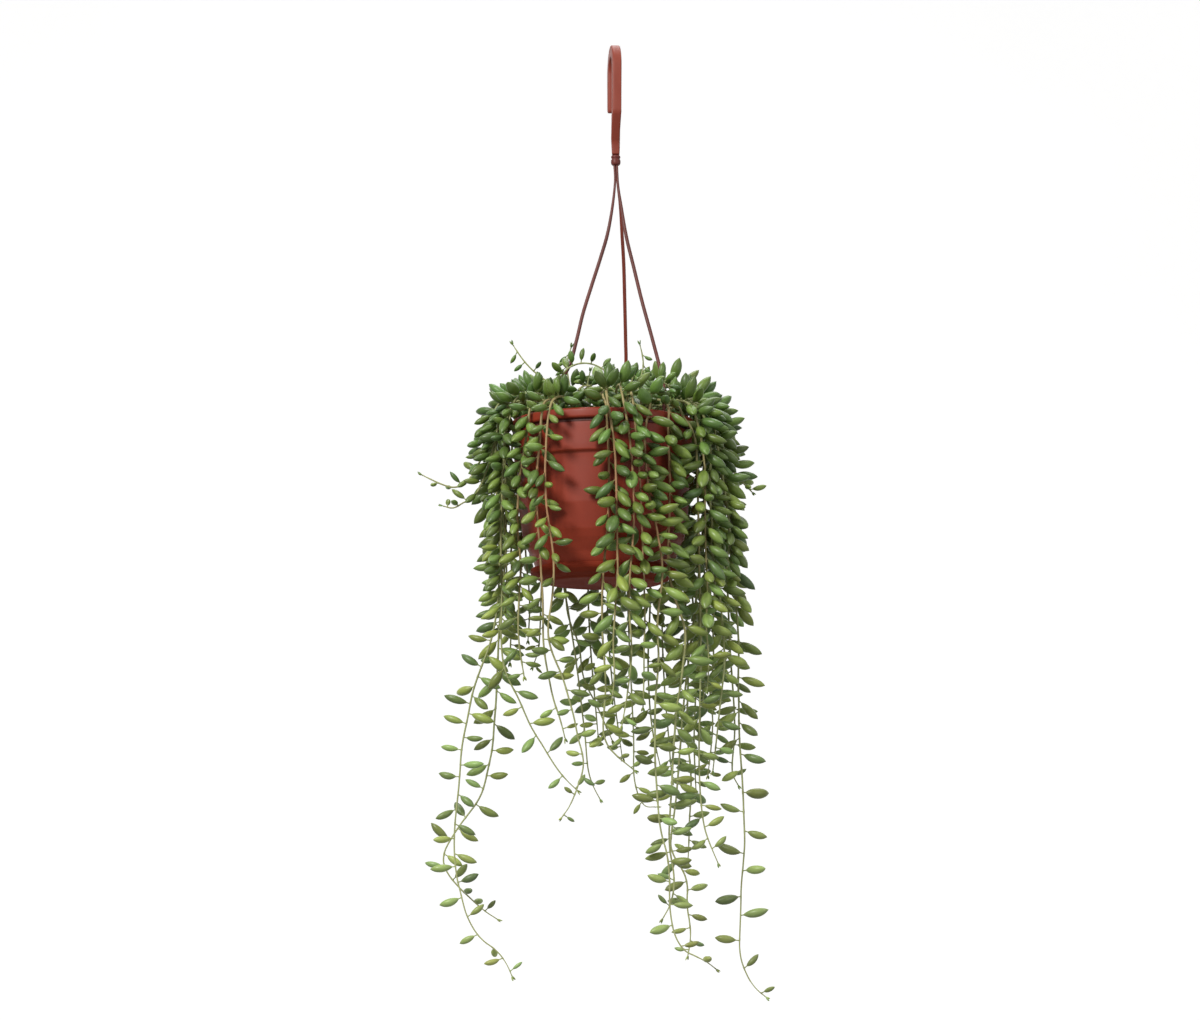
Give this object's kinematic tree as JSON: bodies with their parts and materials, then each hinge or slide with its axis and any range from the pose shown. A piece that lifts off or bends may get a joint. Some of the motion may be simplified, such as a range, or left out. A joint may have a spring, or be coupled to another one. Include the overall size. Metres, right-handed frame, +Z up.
{
  "type": "potted trailing succulent on a hanger",
  "caption": "Trailing succulent with plump pointed leaves in a round hanging pot with a clip-on saucer, on a hook with slender strands.",
  "frame": {"origin": "inner crown of the hook, the level seat that bears on the pole", "axes": "+Z up, the plant hangs towards -Z, its front faces -Y, +X to the right seen from the front"},
  "size_m": [0.2798, 0.2023, 0.7778],
  "materials": {
    "hanger": "satin terracotta-coloured plastic",
    "pot": "satin terracotta-coloured plastic",
    "soil": "loose dark potting soil",
    "shoot": "waxy green leaves on pale stems"
  },
  "bodies": {
    "root": {"hook": "hanger", "hanger_collar": "hanger", "strand_left": "hanger", "strand_back": "hanger", "strand_right": "hanger", "pot": "pot", "saucer": "pot", "soil": "soil", "trailing_shoot_01": "shoot", "trailing_shoot_02": "shoot", "trailing_shoot_03": "shoot", "trailing_shoot_04": "shoot", "trailing_shoot_05": "shoot", "trailing_shoot_06": "shoot", "trailing_shoot_07": "shoot", "trailing_shoot_08": "shoot", "trailing_shoot_09": "shoot", "trailing_shoot_10": "shoot", "trailing_shoot_11": "shoot", "trailing_shoot_12": "shoot", "trailing_shoot_13": "shoot", "trailing_shoot_14": "shoot", "trailing_shoot_15": "shoot", "trailing_shoot_16": "shoot", "trailing_shoot_17": "shoot", "trailing_shoot_18": "shoot", "trailing_shoot_19": "shoot", "trailing_shoot_20": "shoot", "trailing_shoot_21": "shoot", "trailing_shoot_22": "shoot", "trailing_shoot_23": "shoot", "trailing_shoot_24": "shoot", "trailing_shoot_25": "shoot", "trailing_shoot_26": "shoot", "trailing_shoot_27": "shoot", "trailing_shoot_28": "shoot", "trailing_shoot_29": "shoot", "trailing_shoot_30": "shoot", "trailing_shoot_31": "shoot", "trailing_shoot_32": "shoot", "trailing_shoot_33": "shoot", "trailing_shoot_34": "shoot", "trailing_shoot_35": "shoot", "trailing_shoot_36": "shoot", "trailing_shoot_37": "shoot", "trailing_shoot_38": "shoot", "crown_shoot_01": "shoot", "crown_shoot_02": "shoot", "crown_shoot_03": "shoot", "crown_shoot_04": "shoot", "crown_shoot_05": "shoot", "crown_shoot_06": "shoot", "crown_shoot_07": "shoot", "crown_shoot_08": "shoot", "crown_shoot_09": "shoot", "crown_shoot_10": "shoot", "crown_shoot_11": "shoot", "crown_shoot_12": "shoot", "crown_shoot_13": "shoot", "crown_shoot_14": "shoot"}
  },
  "joints": []
}
